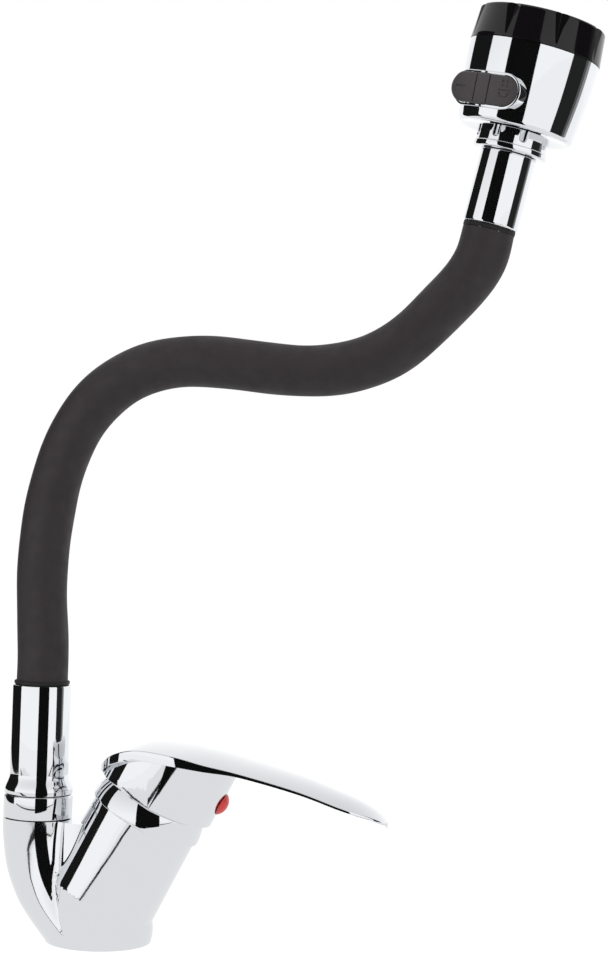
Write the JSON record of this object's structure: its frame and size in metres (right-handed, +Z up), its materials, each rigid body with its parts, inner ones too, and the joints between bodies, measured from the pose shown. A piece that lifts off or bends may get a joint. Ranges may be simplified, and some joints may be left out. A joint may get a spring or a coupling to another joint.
{
  "type": "flexible kitchen faucet",
  "caption": "Deck faucet with a tilted single-lever mixer body, a swivelling riser, a bendable gooseneck hose that stays where it is put and a two-way spray head.",
  "frame": {"origin": "centre of the round foot, on its underside where it meets the worktop", "axes": "+Z up from the worktop; +X forward, the way the lever points; +Y to the left of someone who looks along +X, the cold side"},
  "size_m": [0.2507, 0.0599, 0.4059],
  "materials": {
    "chrome": "mirror-bright chrome plate",
    "brass": "machined, unplated inside",
    "steel": "turned stainless steel",
    "seal_rubber": "matte black rubber",
    "hose_rubber": "matte charcoal rubber, fine grain",
    "gloss_black": "polished black plastic",
    "dark_plastic": "matte dark grey plastic",
    "white_plastic": "moulded off-white plastic",
    "ceramic": "lapped ceramic",
    "index_red": "glossy red plastic"
  },
  "bodies": {
    "faucet_body": {"body_casting": "chrome", "cold_inlet_boss": "brass", "hot_inlet_boss": "brass", "stud_boss": "brass", "foot_rib": "brass", "base_gasket": "seal_rubber", "cartridge_base": "white_plastic", "port_seal_cold": "seal_rubber", "port_seal_hot": "seal_rubber", "port_seal_outlet": "seal_rubber", "cartridge_housing": "white_plastic", "fixed_ceramic_disc": "ceramic", "cartridge_nut": "brass", "dome_ring": "chrome", "swivel_post": "brass", "union_nut": "chrome"},
    "turning_guide": {"spindle_guide": "white_plastic", "stem_pin": "steel"},
    "lever": {"lever_handle": "chrome", "lever_stem": "brass", "handle_set_screw": "steel", "index_button": "index_red"},
    "disc_slider": {"moving_ceramic_disc": "ceramic", "disc_carrier": "white_plastic"},
    "spout": {"spout_tail": "brass", "spout_seal_lower": "seal_rubber", "spout_seal_upper": "seal_rubber", "riser_sleeve": "chrome", "hose_foot": "brass", "lower_hose_ring": "seal_rubber", "hose_cover": "hose_rubber", "water_tube": "white_plastic"},
    "link_01": {"hose_link_01": "brass"},
    "link_02": {"hose_link_02": "brass"},
    "link_03": {"hose_link_03": "brass"},
    "link_04": {"hose_link_04": "brass"},
    "link_05": {"hose_link_05": "brass"},
    "link_06": {"hose_link_06": "brass"},
    "link_07": {"hose_link_07": "brass"},
    "link_08": {"hose_link_08": "brass"},
    "link_09": {"hose_link_09": "brass"},
    "link_10": {"hose_link_10": "brass"},
    "link_11": {"hose_link_11": "brass"},
    "neck": {"neck_stem": "brass", "neck_ferrule": "chrome", "upper_hose_ring": "seal_rubber", "head_seal": "seal_rubber"},
    "spray_head": {"collar_nut": "chrome", "head_shell": "chrome", "face_ring": "gloss_black", "spray_core": "dark_plastic", "nozzle_plate": "dark_plastic", "aerator": "white_plastic", "rocker_bezel": "chrome"},
    "rocker": {"mode_rocker": "dark_plastic"},
    "shuttle": {"diverter_shuttle": "white_plastic"}
  },
  "joints": [
    {"name": "lever_turn", "type": "hinge", "parent": "faucet_body", "child": "turning_guide", "pos_m": [0.0195, 0, 0.055], "axis": [0.4462, 0, 0.8949], "range_deg": [-45, 45]},
    {"name": "lever_lift", "type": "hinge", "parent": "turning_guide", "child": "lever", "pos_m": [0.0195, 0, 0.055], "axis": [0, -1, 0], "range_deg": [0, 24]},
    {"name": "disc_slide", "type": "slide", "parent": "turning_guide", "child": "disc_slider", "axis": [0.8949, 0, -0.4462], "range_m": [0, 0.0076]},
    {"name": "spout_swivel", "type": "hinge", "parent": "faucet_body", "child": "spout", "pos_m": [-0.0292, 0, 0.052], "axis": [0, 0, 1], "continuous": true},
    {"name": "hose_joint_01", "type": "hinge", "parent": "spout", "child": "link_01", "pos_m": [-0.0292, 0, 0.1246], "axis": [0, 1, 0], "range_deg": [-25.6, 32.4], "deforming": ["hose_cover", "water_tube"]},
    {"name": "hose_joint_02", "type": "hinge", "parent": "link_01", "child": "link_02", "pos_m": [-0.03086, 0, 0.15255], "axis": [1, 0, 0.0035], "range_deg": [-28, 28]},
    {"name": "hose_joint_03", "type": "hinge", "parent": "link_02", "child": "link_03", "pos_m": [-0.0294, 0, 0.18051], "axis": [0, 1, 0], "range_deg": [-37.6, 20.4]},
    {"name": "hose_joint_04", "type": "hinge", "parent": "link_03", "child": "link_04", "pos_m": [-0.02377, 0, 0.20794], "axis": [-0.9435, 0, 0.3313], "range_deg": [-24, 24]},
    {"name": "hose_joint_05", "type": "hinge", "parent": "link_04", "child": "link_05", "pos_m": [-0.01101, 0, 0.23287], "axis": [0, -1, 0], "range_deg": [-2.5, 55.5]},
    {"name": "hose_joint_06", "type": "hinge", "parent": "link_05", "child": "link_06", "pos_m": [0.01153, 0, 0.24948], "axis": [0, -1, 0], "range_deg": [-1.4, 56.6]},
    {"name": "hose_joint_07", "type": "hinge", "parent": "link_06", "child": "link_07", "pos_m": [0.0392, 0, 0.25377], "axis": [0, 1, 0], "range_deg": [-43.2, 14.8]},
    {"name": "hose_joint_08", "type": "hinge", "parent": "link_07", "child": "link_08", "pos_m": [0.06707, 0, 0.25113], "axis": [-0.0558, 0, -0.9984], "range_deg": [-28, 28]},
    {"name": "hose_joint_09", "type": "hinge", "parent": "link_08", "child": "link_09", "pos_m": [0.09507, 0, 0.25064], "axis": [0, 1, 0], "range_deg": [-9, 49]},
    {"name": "hose_joint_10", "type": "hinge", "parent": "link_09", "child": "link_10", "pos_m": [0.12154, 0, 0.25976], "axis": [0, -1, 0], "range_deg": [-53, 5]},
    {"name": "hose_joint_11", "type": "hinge", "parent": "link_10", "child": "link_11", "pos_m": [0.14202, 0, 0.27885], "axis": [-0.7559, 0, 0.6547], "range_deg": [-26, 26]},
    {"name": "hose_joint_12", "type": "hinge", "parent": "link_11", "child": "neck", "pos_m": [0.158, 0, 0.30185], "axis": [0, -1, 0], "range_deg": [-51, 7]},
    {"name": "head_swivel", "type": "hinge", "parent": "neck", "child": "spray_head", "pos_m": [0.158, 0, 0.30185], "axis": [0.2215, 0, 0.9751], "continuous": true},
    {"name": "mode_rocker_tilt", "type": "hinge", "parent": "spray_head", "child": "rocker", "pos_m": [0.1586, -0.02229, 0.36734], "axis": [-0.1755, 0.0741, -0.9817], "range_deg": [0, 12]},
    {"name": "diverter_slide", "type": "slide", "parent": "spray_head", "child": "shuttle", "axis": [0.827, -0.5299, -0.1879], "range_m": [0, 0.0042]}
  ],
  "couplings": [
    {"joint": "disc_slide", "follows": "lever_lift", "m_per_rad": 0.01787},
    {"joint": "diverter_slide", "follows": "mode_rocker_tilt", "m_per_rad": 0.01965}
  ]
}
